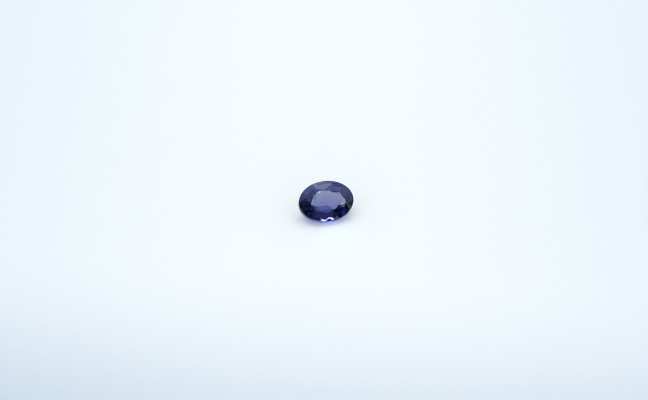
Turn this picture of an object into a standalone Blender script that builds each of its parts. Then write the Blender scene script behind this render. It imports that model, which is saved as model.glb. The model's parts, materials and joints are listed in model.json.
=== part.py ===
"""An oval faceted spinel: brilliant-style crown, stepped pavilion with a short keel.

The stone is cut like a real one: a rough blank is trimmed by one flat plane per facet. It is then
turned to the pose it lies in, on the front facet of its lowest pavilion tier, table facing up and forward.

Frame: +Z up, -Y the front that the table leans to, +X along the stone's length. The origin is on the
surface that the stone lies on, under the middle of its bounding box.

The stone is cut table up, in millimetres, with the middle of its girdle at (0, 0, 0), and scaled to
metres when it is laid down.
"""

from math import atan2, cos, hypot, pi, sin

import bmesh
import bpy
from mathutils import Matrix, Vector

MM = 0.001

# Girdle, the widest part: an oval band
LENGTH = 8.0
WIDTH = 6.0
GIRDLE_THICKNESS = 0.20
GIRDLE_SIDES = 96

# Crown, above the girdle
CROWN_HEIGHT = 0.66
CROWN_MAINS = 8
TABLE_LENGTH = 4.19
TABLE_WIDTH = 3.33
TABLE_CENTRE = (-0.29, -0.20)
STAR_DEPTH = 0.28

# Pavilion, below the girdle. A tier of facets lies between each ring and the next one down. Each ring
# gives its half length, half width, depth under the girdle's lower edge, and its middle's place.
GIRDLE_RING = (LENGTH / 2, WIDTH / 2, 0.0, (0.0, 0.0))
UPPER_RING = (3.89, 2.90, 0.48, (-0.13, -0.15))
LOWER_RING = (2.69, 1.55, 1.55, (-0.07, -0.17))
KEEL = (0.76, 0.0, 2.55, (-0.49, -0.32))
TIERS = (
    (GIRDLE_RING, UPPER_RING, 12),
    (UPPER_RING, LOWER_RING, 12),
    (LOWER_RING, KEEL, 8),
)
REST_TIER = 2

# Share of a turn round the oval, from the +X end, at which the front of the stone lies
FRONT = 0.75

# How near a corner may come to a cutting plane before it counts as on it, and corners that are one
CUT_TOLERANCE = 0.00001
SAME_CORNER = 0.002

# Finish
VIOLET = (0.075, 0.065, 0.21, 1.0)
POLISH_ROUGHNESS = 0.02
SPINEL_IOR = 1.718


def facing(turn):
    """The direction, as an angle from +X, that the girdle faces at a share of a turn round the oval."""
    angle = 2 * pi * turn
    return atan2(LENGTH * sin(angle), WIDTH * cos(angle))


def girdle_point(turn):
    """A point on the girdle's upper edge."""
    angle = 2 * pi * turn
    return Vector((LENGTH / 2 * cos(angle), WIDTH / 2 * sin(angle), GIRDLE_THICKNESS / 2))


def plane_through(a, b, c):
    """The plane through three points: its normal, away from the stone's middle, and its distance."""
    normal = (b - a).cross(c - a).normalized()
    if normal.dot(a) < 0:
        normal = -normal
    return normal, normal.dot(a)


def girdle_plane(turn, point):
    """The plane that touches the girdle's upper edge at a share of a turn and holds one more point."""
    touch = girdle_point(turn)
    along = Vector((-sin(facing(turn)), cos(facing(turn)), 0))
    return plane_through(touch, touch + along, point)


def meet_point(plane_a, plane_b, height):
    """The point at a height on the line where two planes meet."""
    normal_a, distance_a = plane_a
    normal_b, distance_b = plane_b
    left = distance_a - normal_a.z * height
    right = distance_b - normal_b.z * height
    scale = normal_a.x * normal_b.y - normal_a.y * normal_b.x
    x = (left * normal_b.y - right * normal_a.y) / scale
    y = (normal_a.x * right - normal_b.x * left) / scale
    return Vector((x, y, height))


def crown_facets():
    """Planes of the table and the mains, then of each star with its pair of upper girdle facets."""
    table_height = GIRDLE_THICKNESS / 2 + CROWN_HEIGHT
    corners = []
    for i in range(CROWN_MAINS):
        angle = 2 * pi * i / CROWN_MAINS
        x = TABLE_CENTRE[0] + TABLE_LENGTH / 2 * cos(angle)
        y = TABLE_CENTRE[1] + TABLE_WIDTH / 2 * sin(angle)
        corners.append(Vector((x, y, table_height)))
    mains = [girdle_plane(i / CROWN_MAINS, corner) for i, corner in enumerate(corners)]
    planes = [(Vector((0, 0, 1)), table_height)] + mains
    for i in range(CROWN_MAINS):
        after = (i + 1) % CROWN_MAINS
        star_tip = meet_point(mains[i], mains[after], table_height - STAR_DEPTH)
        planes.append(plane_through(corners[i], corners[after], star_tip))
        for share in (0.25, 0.75):
            planes.append(girdle_plane((i + share) / CROWN_MAINS, star_tip))
    return planes


def reach(ring, angle):
    """How far a ring reaches from the stone's axis in the direction of an angle."""
    half_length, half_width, _, middle = ring
    offset = middle[0] * cos(angle) + middle[1] * sin(angle)
    return offset + hypot(half_length * cos(angle), half_width * sin(angle))


def tier_facet(upper, lower, turn):
    """The plane that touches two rings of the pavilion at a share of a turn."""
    angle = facing(turn)
    slope = atan2(lower[2] - upper[2], reach(upper, angle) - reach(lower, angle))
    normal = Vector((cos(angle) * sin(slope), sin(angle) * sin(slope), -cos(slope)))
    depth = GIRDLE_THICKNESS / 2 + upper[2]
    return normal, reach(upper, angle) * sin(slope) + depth * cos(slope)


def pavilion_facets():
    """Planes of all the tiers, from the girdle down."""
    planes = []
    for upper, lower, count in TIERS:
        for i in range(count):
            planes.append(tier_facet(upper, lower, i / count))
    return planes


def cut(stone, normal, distance):
    """Grinds away everything beyond a plane and closes the new facet."""
    everything = stone.verts[:] + stone.edges[:] + stone.faces[:]
    made = bmesh.ops.bisect_plane(stone, geom=everything, plane_co=normal * distance, plane_no=normal,
                                  clear_outer=True, dist=CUT_TOLERANCE)
    rim = [item for item in made["geom_cut"] if isinstance(item, bmesh.types.BMEdge)]
    if rim:
        bmesh.ops.holes_fill(stone, edges=rim, sides=0)


def cut_stone():
    """The whole stone, table up, from an oval blank."""
    stone = bmesh.new()
    oval = Matrix.Diagonal((LENGTH / 2, WIDTH / 2, 1, 1))
    bmesh.ops.create_cone(stone, cap_ends=True, segments=GIRDLE_SIDES, radius1=1, radius2=1,
                          depth=2 * LENGTH, matrix=oval)
    for normal, distance in crown_facets() + pavilion_facets():
        cut(stone, normal, distance)
    bmesh.ops.remove_doubles(stone, verts=stone.verts, dist=SAME_CORNER)
    return stone


def lay_down(stone):
    """Turns the lowest tier's front facet to face straight down, scales to metres and sets the origin."""
    upper, lower, _ = TIERS[REST_TIER]
    normal, _ = tier_facet(upper, lower, FRONT)
    turned = normal.rotation_difference(Vector((0, 0, -1))).to_matrix().to_4x4()
    stone.transform(Matrix.Scale(MM, 4) @ turned)
    low = Vector(min(v.co[i] for v in stone.verts) for i in range(3))
    high = Vector(max(v.co[i] for v in stone.verts) for i in range(3))
    middle = (low + high) / 2
    bmesh.ops.translate(stone, verts=stone.verts, vec=(-middle.x, -middle.y, -low.z))


def spinel_material():
    """Polished violet crystal."""
    made = bpy.data.materials.new("spinel")
    made.use_nodes = True
    shader = made.node_tree.nodes["Principled BSDF"]
    shader.inputs["Base Color"].default_value = VIOLET
    shader.inputs["Roughness"].default_value = POLISH_ROUGHNESS
    shader.inputs["Metallic"].default_value = 0.0
    shader.inputs["IOR"].default_value = SPINEL_IOR
    return made


def build():
    """Clears the scene and makes the stone in a collection of its own."""
    for old in list(bpy.data.objects):
        bpy.data.objects.remove(old)
    stone = cut_stone()
    lay_down(stone)
    mesh = bpy.data.meshes.new("spinel")
    stone.to_mesh(mesh)
    stone.free()
    mesh.materials.append(spinel_material())
    collection = bpy.data.collections.new("faceted_spinel")
    bpy.context.scene.collection.children.link(collection)
    collection.objects.link(bpy.data.objects.new("spinel", mesh))


build()
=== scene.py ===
"""The look of an oval violet spinel: a clear crystal on a pale surface, in soft studio light.

The solid comes from the frame. It is shown by a copy whose facet junctions are very slightly worn,
as on any real cut stone, with polished facets and a ground girdle.

Lengths are in metres unless a comment says otherwise, and azimuths and elevations in degrees.
"""

import json
from math import cos, radians, sin, tan

import bmesh
import bpy
from mathutils import Matrix, Vector
from mathutils.bvhtree import BVHTree


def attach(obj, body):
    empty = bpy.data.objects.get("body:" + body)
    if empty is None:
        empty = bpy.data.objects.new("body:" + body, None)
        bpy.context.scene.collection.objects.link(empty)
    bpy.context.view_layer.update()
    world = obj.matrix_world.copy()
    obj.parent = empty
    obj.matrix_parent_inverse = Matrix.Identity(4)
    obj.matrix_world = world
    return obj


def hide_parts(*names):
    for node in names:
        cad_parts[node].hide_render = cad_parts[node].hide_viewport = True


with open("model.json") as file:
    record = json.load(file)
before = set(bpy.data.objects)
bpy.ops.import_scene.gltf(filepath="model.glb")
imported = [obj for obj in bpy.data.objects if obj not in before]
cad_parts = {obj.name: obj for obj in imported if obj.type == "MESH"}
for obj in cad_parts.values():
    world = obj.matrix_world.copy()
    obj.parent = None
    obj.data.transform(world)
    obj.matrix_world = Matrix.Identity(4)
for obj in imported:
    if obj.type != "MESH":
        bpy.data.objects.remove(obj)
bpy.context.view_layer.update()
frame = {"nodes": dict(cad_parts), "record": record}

MM = 0.001

# The stone, as part.py has it
STONE_LENGTH = 8.0 * MM
CROWN_HEIGHT = 0.66 * MM
GIRDLE_THICKNESS = 0.20 * MM

# The photograph, in pixels: its frame, and the middle and the length of the stone's girdle in it
PHOTO_WIDTH = 648
PHOTO_HEIGHT = 400
STONE_PIXEL = (326.15, 201.3)
STONE_LENGTH_PIXELS = 55.7
PIXEL_SIZE = STONE_LENGTH / STONE_LENGTH_PIXELS

# The camera, far away with a long lens. The sensor's width is in the camera's own millimetres.
CAMERA_AZIMUTH = -13.44
CAMERA_ELEVATION = 41.01
CAMERA_DISTANCE = 300 * MM
SENSOR_WIDTH = 36.0
CLIP_START = 0.01
CLIP_END = 10.0

# Worn facet junctions. The stone is worked in millimetres, so these three lengths are in millimetres: how
# wide the wear is, how near a corner may be to a cutting plane to count as on it, and corners that are one.
WORN_WIDTH = 0.025
CUT_TOLERANCE = 0.00001
SAME_CORNER = 0.0001

# The least angle between two facets that shows wear, and the greatest angle between faces of one facet
LEAST_JUNCTION = radians(8)
FLAT_ANGLE = radians(0.05)

# The crystal: clear, with its colour from absorption inside. The density is per metre.
CLEAR = (1.0, 1.0, 1.0, 1.0)
SPINEL_IOR = 1.718
ABSORPTION_DENSITY = 500.0
ABSORPTION_COLOUR = (0.13, 0.14, 0.56, 1.0)

# Polished facets: least and most roughness, the size of its patches and the noise values over which it
# rises, and fine lines from polishing, given by their width, depth, turn and how far they are drawn out
POLISHED = (0.0, 0.02)
POLISH_PATCH = 0.6 * MM
PATCH_NOISE = (0.35, 0.75)
PATCH_DETAIL = 3.0
POLISH_LINES = 0.03 * MM
LINE_DEPTH = 0.00001 * MM
LINE_TURN = (0.0, 0.0, radians(20))
LINE_STRETCH = (0.04, 1.0, 1.0)
LINE_DETAIL = 2.0

# The ground girdle: its roughness and grain. It is where the surface faces least along the stone's axis.
GROUND = 0.08
GRAIN = 0.02 * MM
GRAIN_DEPTH = 0.0008 * MM
GRAIN_DETAIL = 3.0
GIRDLE_LEAN = 0.25

# The studio: a soft dome that is a little brighter low down than overhead
LIGHT_TINT = (0.88, 1.10, 1.16, 1.0)
DOME_LOW = 0.765
DOME_TOP = 0.605
DOME_RISE = 0.6

# The dome is dark on the side of the photograph's camera. Middle and reach are in degrees to the right and
# upwards of that camera's place, the soft edge is a share of the reach, and the level is the light left.
DARK_CENTRE = (-23.1, 0.7)
DARK_REACH = (34.5, 37.1)
DARK_EDGE = 0.26
DARK_LEVEL = 0.115

# Softboxes and dark flags, each given by its azimuth, elevation and radius, and by how bright it is or how
# much it shades. The soft rim lies between two shares of the radius.
SOFTBOXES = (
    (161.8, 66.1, 10.6, 1.15),
    (-151.6, 24.2, 5.3, 0.78),
    (177.7, 38.8, 16.9, 2.30),
)
FLAGS = (
    (56.7, 39.8, 9.7, 1.00),
    (86.6, 30.9, 10.9, 0.76),
)
RIM_INNER = 0.85
RIM_OUTER = 1.25

# The black card in front of the stone
CARD_WIDTH = 71 * MM
CARD_HEIGHT = 31 * MM
CARD_AWAY = 34 * MM
CARD_COLOUR = (0.01, 0.01, 0.01, 1.0)

# Glints: reflections of small lamps in single facets. Each is given by its outline in the photograph, in
# pixels. Its lamp lies this far from the facet, where the facet mirrors it to the photograph's camera.
LAMP_AWAY = 5 * MM
LAMP_TINT = (0.64, 0.70, 1.0, 1.0)
LAMP_STRENGTH = 14.5
GLINTS = (
    ((321.0, 219.5), (323.3, 219.5), (326.3, 221.4), (321.2, 221.4)),
    ((323.2, 219.4), (327.2, 219.4), (327.2, 221.3), (326.2, 221.3)),
    ((327.0, 219.0), (327.6, 218.1), (328.6, 217.6), (331.4, 217.3), (331.6, 218.6), (329.8, 218.8),
     (328.8, 219.0)),
    ((331.0, 219.0), (331.6, 217.7), (333.3, 217.9), (334.0, 218.6), (332.9, 219.8), (331.0, 220.0)),
    ((341.6, 202.0), (343.1, 202.0), (343.1, 203.7), (341.6, 203.7)),
    ((318.8, 190.8), (320.4, 190.8), (320.2, 192.6), (318.9, 192.6)),
)

# The floor: its colour near the stone, and a painted shade, standing in for light falling off, that darkens
# it towards the front and, by a smaller share, to both sides. It turns from one to the other between the
# start and the end of each way.
FLOOR_SIZE = 4.0
FLOOR_GAP = 0.02 * MM
FLOOR_COLOUR = (0.80, 0.858, 0.889, 1.0)
FRONT_SHADE_COLOUR = (0.42, 0.54, 0.67, 1.0)
FRONT_AZIMUTH = -19.0
FRONT_START = 12 * MM
FRONT_END = 68 * MM
SIDE_START = 5 * MM
SIDE_END = 60 * MM
SIDE_SHADE_SHARE = 0.21

# The floor's light: an even part, and a broad light from behind that leaves the stone's shadow in front
EVEN_LIGHT = (0.895, 0.907, 0.964, 1.0)
BACK_LIGHT = 0.794
BACK_TINT = (1.0, 0.948, 0.703)
BACK_AZIMUTH = 175.5
BACK_ELEVATION = 71.6
BACK_SPREAD = 70.0

# What falls on the floor by way of the stone: the dome's light, so much stronger and in a tint of its own
GLOW = 4.0
GLOW_TINT = (0.86, 1.08, 1.03, 1.0)

# What the camera sees beyond the floor
WALL_COLOUR = (0.86, 0.93, 0.97, 1.0)

# How often light bounces: inside a cut stone very often
MOST_BOUNCES = 32
GLOSSY_BOUNCES = 16
DIFFUSE_BOUNCES = 4
FILTER_PIXELS = 1.1


def direction(azimuth, elevation):
    """Unit vector from the stone towards a place; azimuth 0 is -Y, and grows towards +X."""
    a = radians(azimuth)
    e = radians(elevation)
    return Vector((sin(a) * cos(e), -cos(a) * cos(e), sin(e)))


def table_mount():
    """Middle and outward direction of the table facet, from the record."""
    table = next(m for m in frame["record"]["mounts"] if m["name"] == "table")
    return Vector(table["pos_m"]), Vector(table["axis"]).normalized()


def girdle_centre():
    """The middle of the stone's widest part: half way along its reach each way across its axis."""
    table, axis = table_mount()
    across = Vector((1, 0, 0))
    up = axis.cross(across)
    places = [v.co for v in frame["nodes"]["spinel"].data.vertices]
    middle = axis * (table.dot(axis) - CROWN_HEIGHT - GIRDLE_THICKNESS / 2)
    for way in (across, up):
        reach = [place.dot(way) for place in places]
        middle += way * (min(reach) + max(reach)) / 2
    return middle


STONE_AXIS = table_mount()[1]
GIRDLE_CENTRE = girdle_centre()
TO_CAMERA = direction(CAMERA_AZIMUTH, CAMERA_ELEVATION)
CAMERA_RIGHT = Vector((0, 0, 1)).cross(TO_CAMERA).normalized()
CAMERA_UP = TO_CAMERA.cross(CAMERA_RIGHT)


def add_object(name, data):
    """A new object in the scene."""
    made = bpy.data.objects.new(name, data)
    bpy.context.scene.collection.objects.link(made)
    return made


def turn_towards(thing, way, front, up):
    """Turns an object so that one of its axes points along a way."""
    thing.rotation_mode = "QUATERNION"
    thing.rotation_quaternion = way.to_track_quat(front, up)


def node(tree, kind, *values, **settings):
    """A new node with its settings. The values, numbers, colours or outputs, go to its inputs in order."""
    made = tree.nodes.new(kind)
    for name, value in settings.items():
        setattr(made, name, value)
    inputs = [socket for socket in made.inputs if socket.enabled]
    for socket, value in zip(inputs, values):
        if isinstance(value, bpy.types.NodeSocket):
            tree.links.new(value, socket)
        else:
            socket.default_value = value
    return made


def result(tree, kind, *values, **settings):
    """The first output of a new node."""
    made = node(tree, kind, *values, **settings)
    return next(socket for socket in made.outputs if socket.enabled)


def calc(tree, operation, *values):
    """The result of a sum, product or other function of numbers."""
    return result(tree, "ShaderNodeMath", *values, operation=operation)


def dot(tree, vector, way):
    """How far a vector points along a fixed way."""
    return result(tree, "ShaderNodeVectorMath", vector, way, operation="DOT_PRODUCT")


def soft_step(tree, value, start, end, low=0.0, high=1.0):
    """A smooth rise from low to high while the value goes from start to end."""
    return result(tree, "ShaderNodeMapRange", value, start, end, low, high, interpolation_type="SMOOTHSTEP")


def empty_material(name):
    """A new material with no nodes yet, and its node tree."""
    made = bpy.data.materials.new(name)
    made.use_nodes = True
    made.node_tree.nodes.clear()
    return made, made.node_tree


def make_camera():
    """The photograph's camera: same angle, same framing, with the stone at its place in the picture."""
    camera = bpy.data.cameras.new("camera")
    holder = add_object("camera", camera)
    right = (PHOTO_WIDTH / 2 - STONE_PIXEL[0]) * PIXEL_SIZE
    up = (STONE_PIXEL[1] - PHOTO_HEIGHT / 2) * PIXEL_SIZE
    aim = GIRDLE_CENTRE + CAMERA_RIGHT * right + CAMERA_UP * up
    holder.location = aim + TO_CAMERA * CAMERA_DISTANCE
    turn_towards(holder, -TO_CAMERA, "-Z", "Y")
    camera.sensor_width = SENSOR_WIDTH
    camera.lens = SENSOR_WIDTH * CAMERA_DISTANCE / (PHOTO_WIDTH * PIXEL_SIZE)
    camera.clip_start = CLIP_START
    camera.clip_end = CLIP_END
    bpy.context.scene.camera = holder


def dark_side(tree, way):
    """A factor for the dome's light: low round the place of the photograph's camera, one elsewhere."""
    shares = []
    for sideways, centre, reach in zip((CAMERA_RIGHT, CAMERA_UP), DARK_CENTRE, DARK_REACH):
        turned = calc(tree, "ARCTAN2", dot(tree, way, sideways), dot(tree, way, TO_CAMERA))
        away = calc(tree, "SUBTRACT", calc(tree, "DEGREES", turned), centre)
        share = calc(tree, "ABSOLUTE", calc(tree, "DIVIDE", away, reach))
        shares.append(calc(tree, "POWER", share, 2.0))
    away = calc(tree, "SQRT", calc(tree, "ADD", *shares))
    return soft_step(tree, away, 1 - DARK_EDGE, 1 + DARK_EDGE, DARK_LEVEL, 1.0)


def disc(tree, way, place, centre, outside):
    """A round patch of the dome with a soft rim: a value in it and another outside."""
    azimuth, elevation, radius = place
    near = dot(tree, way, direction(azimuth, elevation))
    start = cos(radians(RIM_OUTER * radius))
    end = cos(radians(RIM_INNER * radius))
    return soft_step(tree, near, start, end, outside, centre)


def dome_light(tree):
    """How bright the studio is in each direction."""
    way = node(tree, "ShaderNodeTexCoord").outputs["Generated"]
    dome = soft_step(tree, dot(tree, way, (0, 0, 1)), 0.0, DOME_RISE, DOME_LOW, DOME_TOP)
    light = calc(tree, "MULTIPLY", dome, dark_side(tree, way))
    for *place, shade in FLAGS:
        light = calc(tree, "MULTIPLY", light, disc(tree, way, place, 1 - shade, 1.0))
    for *place, strength in SOFTBOXES:
        light = calc(tree, "ADD", light, disc(tree, way, place, strength, 0.0))
    return light


def make_studio():
    """The dome of soft light. It lights the floor only by way of the stone. Otherwise the floor gets an even
    light, and the camera sees a pale wall beyond it."""
    world = bpy.data.worlds.new("studio")
    bpy.context.scene.world = world
    world.use_nodes = True
    world.cycles.sampling_method = "NONE"
    tree = world.node_tree
    tree.nodes.clear()
    light = dome_light(tree)
    glow = calc(tree, "MULTIPLY", light, GLOW)
    path = node(tree, "ShaderNodeLightPath").outputs
    # The depth is a whole number: 0 for rays from the camera, and more once they have left the floor
    left_floor = calc(tree, "GREATER_THAN", path["Diffuse Depth"], 0.5)
    studio = result(tree, "ShaderNodeBackground", LIGHT_TINT, light)
    through = result(tree, "ShaderNodeBackground", GLOW_TINT, glow)
    even = result(tree, "ShaderNodeBackground", EVEN_LIGHT, 1.0)
    wall = result(tree, "ShaderNodeBackground", WALL_COLOUR, 1.0)
    shown = result(tree, "ShaderNodeMixShader", left_floor, studio, through)
    shown = result(tree, "ShaderNodeMixShader", path["Is Diffuse Ray"], shown, even)
    shown = result(tree, "ShaderNodeMixShader", path["Is Camera Ray"], shown, wall)
    node(tree, "ShaderNodeOutputWorld", shown)


def make_back_light():
    """The broad light from behind, for the floor alone: the crystal sees the studio instead."""
    lamp = bpy.data.lights.new("back_light", "SUN")
    lamp.energy = BACK_LIGHT
    lamp.color = BACK_TINT
    lamp.angle = radians(BACK_SPREAD)
    holder = add_object("back_light", lamp)
    turn_towards(holder, direction(BACK_AZIMUTH, BACK_ELEVATION), "Z", "Y")
    holder.visible_camera = False
    holder.visible_glossy = False
    holder.visible_transmission = False


def make_floor():
    """A pale surface just under the stone, with painted shade towards the front and the sides."""
    bpy.ops.mesh.primitive_plane_add(size=FLOOR_SIZE, location=(0, 0, -FLOOR_GAP))
    floor = bpy.context.object
    floor.name = "floor"
    paper, tree = empty_material("pale_floor_painted_shade")
    place = node(tree, "ShaderNodeNewGeometry").outputs["Position"]
    # Painted shade: the floor's colour darkens towards the front and to the sides, in place of light falling
    # off.
    front = soft_step(tree, dot(tree, place, direction(FRONT_AZIMUTH, 0)), FRONT_START, FRONT_END)
    side = calc(tree, "ABSOLUTE", dot(tree, place, CAMERA_RIGHT))
    side = soft_step(tree, side, SIDE_START, SIDE_END, 0.0, SIDE_SHADE_SHARE)
    share = calc(tree, "ADD", front, side)
    colour = result(tree, "ShaderNodeMix", share, FLOOR_COLOUR, FRONT_SHADE_COLOUR, data_type="RGBA")
    surface = result(tree, "ShaderNodeBsdfDiffuse", colour)
    node(tree, "ShaderNodeOutputMaterial", surface)
    floor.data.materials.append(paper)


def make_card():
    """A black card in front, which the polished facets reflect. The camera and the floor don't see it."""
    place = (0, GIRDLE_CENTRE.y - CARD_AWAY, CARD_HEIGHT / 2)
    bpy.ops.mesh.primitive_plane_add(size=1, location=place, rotation=(radians(90), 0, 0))
    card = bpy.context.object
    card.name = "black_card"
    card.scale = (CARD_WIDTH, CARD_HEIGHT, 1)
    card.visible_camera = False
    card.visible_diffuse = False
    card.visible_shadow = False
    black, tree = empty_material("black_card")
    node(tree, "ShaderNodeOutputMaterial", result(tree, "ShaderNodeBsdfDiffuse", CARD_COLOUR))
    card.data.materials.append(black)


def sight(pixel):
    """The direction in which the camera sees a place in the photograph."""
    right = (pixel[0] - PHOTO_WIDTH / 2) * PIXEL_SIZE
    up = (PHOTO_HEIGHT / 2 - pixel[1]) * PIXEL_SIZE
    return (CAMERA_RIGHT * right + CAMERA_UP * up - TO_CAMERA * CAMERA_DISTANCE).normalized()


def mirrored(surface, outline):
    """A lamp's corners, placed so that the facet under the outline's middle shows it with that outline."""
    camera = bpy.context.scene.camera.location
    middle = [sum(values) / len(outline) for values in zip(*outline)]
    point, normal, _, _ = surface.ray_cast(camera, sight(middle))
    corners = []
    for pixel in outline:
        ray = sight(pixel)
        on_facet = camera + ray * (point - camera).dot(normal) / ray.dot(normal)
        corners.append(on_facet + ray.reflect(normal) * LAMP_AWAY)
    return corners


def make_lamps():
    """Small lamps close to the stone, seen only as the glints that they leave on its facets."""
    glow, tree = empty_material("lamp")
    shining = result(tree, "ShaderNodeEmission", LAMP_TINT, LAMP_STRENGTH)
    node(tree, "ShaderNodeOutputMaterial", shining)
    glow.cycles.emission_sampling = "NONE"
    surface = BVHTree.FromObject(frame["nodes"]["spinel"], bpy.context.evaluated_depsgraph_get())
    for outline in GLINTS:
        mesh = bpy.data.meshes.new("lamp")
        mesh.from_pydata(mirrored(surface, outline), [], [range(len(outline))])
        mesh.materials.append(glow)
        lamp = add_object("lamp", mesh)
        lamp.visible_camera = False
        lamp.visible_diffuse = False
        lamp.visible_transmission = False
        lamp.visible_shadow = False


def grind(stone, normal, point):
    """Takes off everything beyond a plane and closes the new face."""
    everything = stone.verts[:] + stone.edges[:] + stone.faces[:]
    made = bmesh.ops.bisect_plane(stone, geom=everything, plane_co=point, plane_no=normal,
                                  clear_outer=True, dist=CUT_TOLERANCE)
    rim = [item for item in made["geom_cut"] if isinstance(item, bmesh.types.BMEdge)]
    if rim:
        bmesh.ops.holes_fill(stone, edges=rim, sides=0)


def junction_planes(stone):
    """A plane across each facet junction, just deep enough to leave a strip of the worn width."""
    planes = []
    for edge in stone.edges:
        angle = edge.calc_face_angle()
        if angle < LEAST_JUNCTION:
            continue
        normal = (edge.link_faces[0].normal + edge.link_faces[1].normal).normalized()
        depth = WORN_WIDTH / 2 * tan(angle / 2)
        planes.append((normal, edge.verts[0].co - normal * depth))
    return planes


def make_stone():
    """The stone of the frame with its facet junctions worn, worked in millimetres."""
    stone = bmesh.new()
    stone.from_mesh(frame["nodes"]["spinel"].data)
    stone.transform(Matrix.Scale(1 / MM, 4))
    bmesh.ops.remove_doubles(stone, verts=stone.verts, dist=SAME_CORNER)
    bmesh.ops.dissolve_limit(stone, angle_limit=FLAT_ANGLE, verts=stone.verts, edges=stone.edges)
    stone.normal_update()
    for normal, point in junction_planes(stone):
        grind(stone, normal, point)
    bmesh.ops.remove_doubles(stone, verts=stone.verts, dist=SAME_CORNER)
    stone.transform(Matrix.Scale(MM, 4))
    mesh = bpy.data.meshes.new("cut_stone")
    stone.to_mesh(mesh)
    stone.free()
    mesh.shade_flat()
    mesh.materials.append(make_crystal())
    piece = add_object("cut_stone", mesh)
    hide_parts("spinel")
    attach(piece, "root")


def noise(tree, place, size, detail):
    """Noise with features of about one size."""
    return result(tree, "ShaderNodeTexNoise", place, 1 / size, detail)


def make_crystal():
    """Clear violet crystal: polished facets, a finely ground girdle, and colour from absorption alone."""
    crystal = bpy.data.materials.new("spinel_crystal")
    crystal.use_nodes = True
    tree = crystal.node_tree
    shader = tree.nodes["Principled BSDF"].inputs
    shader["Base Color"].default_value = CLEAR
    shader["Transmission Weight"].default_value = 1.0
    shader["IOR"].default_value = SPINEL_IOR
    place = node(tree, "ShaderNodeTexCoord").outputs["Object"]
    normal = node(tree, "ShaderNodeNewGeometry").outputs["Normal"]
    lean = calc(tree, "ABSOLUTE", dot(tree, normal, STONE_AXIS))
    on_girdle = calc(tree, "LESS_THAN", lean, GIRDLE_LEAN)

    polish = soft_step(tree, noise(tree, place, POLISH_PATCH, PATCH_DETAIL), *PATCH_NOISE, *POLISHED)
    roughness = result(tree, "ShaderNodeMix", on_girdle, polish, GROUND)
    tree.links.new(roughness, shader["Roughness"])

    along = result(tree, "ShaderNodeMapping", place, (0, 0, 0), LINE_TURN, LINE_STRETCH)
    lined = node(tree, "ShaderNodeBump", 1.0, LINE_DEPTH)
    tree.links.new(noise(tree, along, POLISH_LINES, LINE_DETAIL), lined.inputs["Height"])
    grained = node(tree, "ShaderNodeBump", on_girdle, GRAIN_DEPTH)
    tree.links.new(noise(tree, place, GRAIN, GRAIN_DETAIL), grained.inputs["Height"])
    tree.links.new(lined.outputs["Normal"], grained.inputs["Normal"])
    tree.links.new(grained.outputs["Normal"], shader["Normal"])

    absorption = result(tree, "ShaderNodeVolumeAbsorption", ABSORPTION_COLOUR, ABSORPTION_DENSITY)
    tree.links.new(absorption, tree.nodes["Material Output"].inputs["Volume"])
    return crystal


def set_light_paths():
    """Lets light bounce inside the crystal as often as it does in a real stone."""
    scene = bpy.context.scene
    scene.cycles.max_bounces = MOST_BOUNCES
    scene.cycles.transmission_bounces = MOST_BOUNCES
    scene.cycles.glossy_bounces = GLOSSY_BOUNCES
    scene.cycles.diffuse_bounces = DIFFUSE_BOUNCES
    scene.cycles.blur_glossy = 0.0
    scene.cycles.filter_width = FILTER_PIXELS
    scene.cycles.sample_clamp_indirect = 0.0
    scene.cycles.caustics_reflective = True
    scene.cycles.caustics_refractive = True
    scene.view_settings.view_transform = "Standard"


make_camera()
make_studio()
make_back_light()
make_floor()
make_card()
make_lamps()
make_stone()
set_light_paths()
